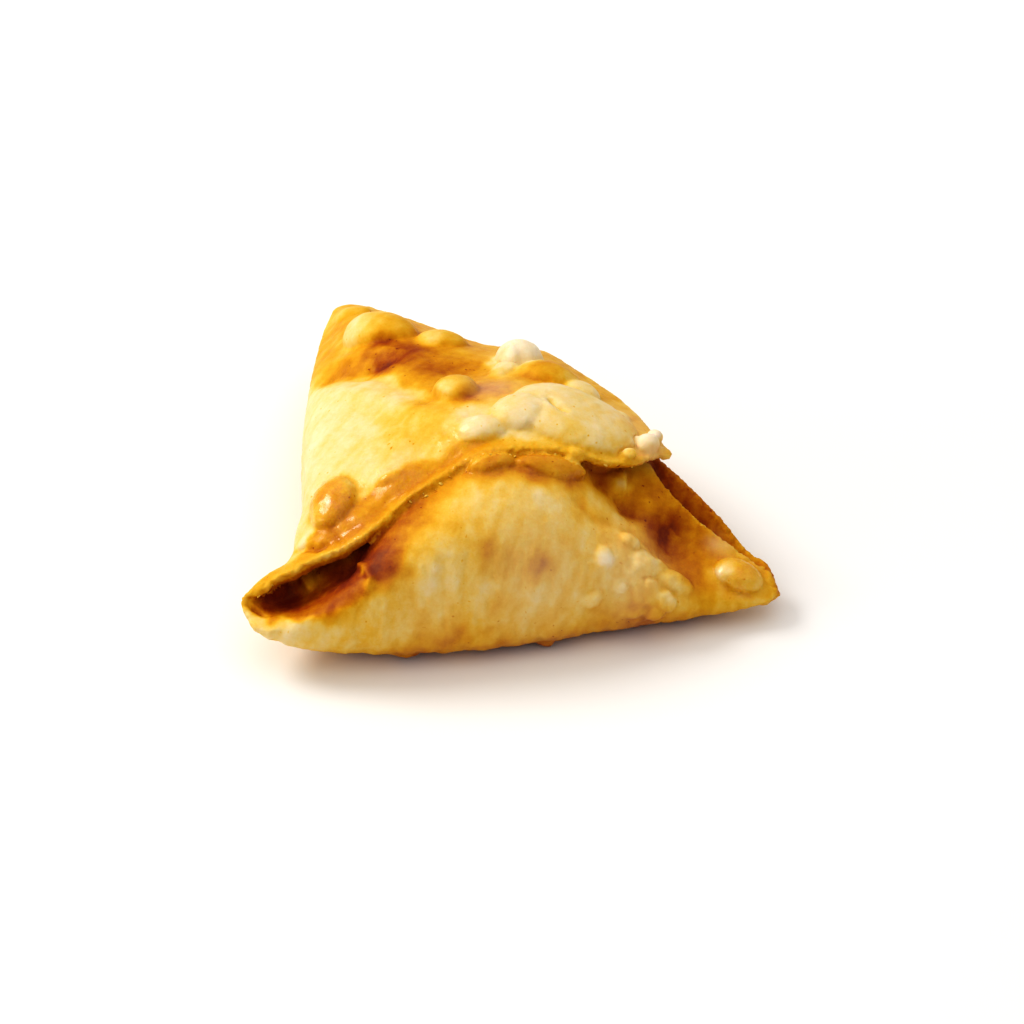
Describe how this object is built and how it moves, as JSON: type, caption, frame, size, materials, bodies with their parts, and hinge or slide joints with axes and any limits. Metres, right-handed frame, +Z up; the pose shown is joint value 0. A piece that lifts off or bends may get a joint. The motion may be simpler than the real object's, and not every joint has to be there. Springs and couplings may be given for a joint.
{
  "type": "fried samosa",
  "caption": "Fried triangular pastry parcel with a puffed blistered crust, a folded-over flap with a free lip, an open beak and a pressed flat tip.",
  "frame": {"origin": "bottom centre of the samosa's bounding box, on the surface it rests on", "axes": "+Z up, +X from the open beak towards the pressed tip, +Y from the bulging front towards the far folded corner"},
  "size_m": [0.0914, 0.0926, 0.0317],
  "materials": {
    "fried_pastry": "golden fried pastry with a thin film of oil, satin to glossy"
  },
  "bodies": {
    "root": {"samosa": "fried_pastry"}
  },
  "joints": []
}
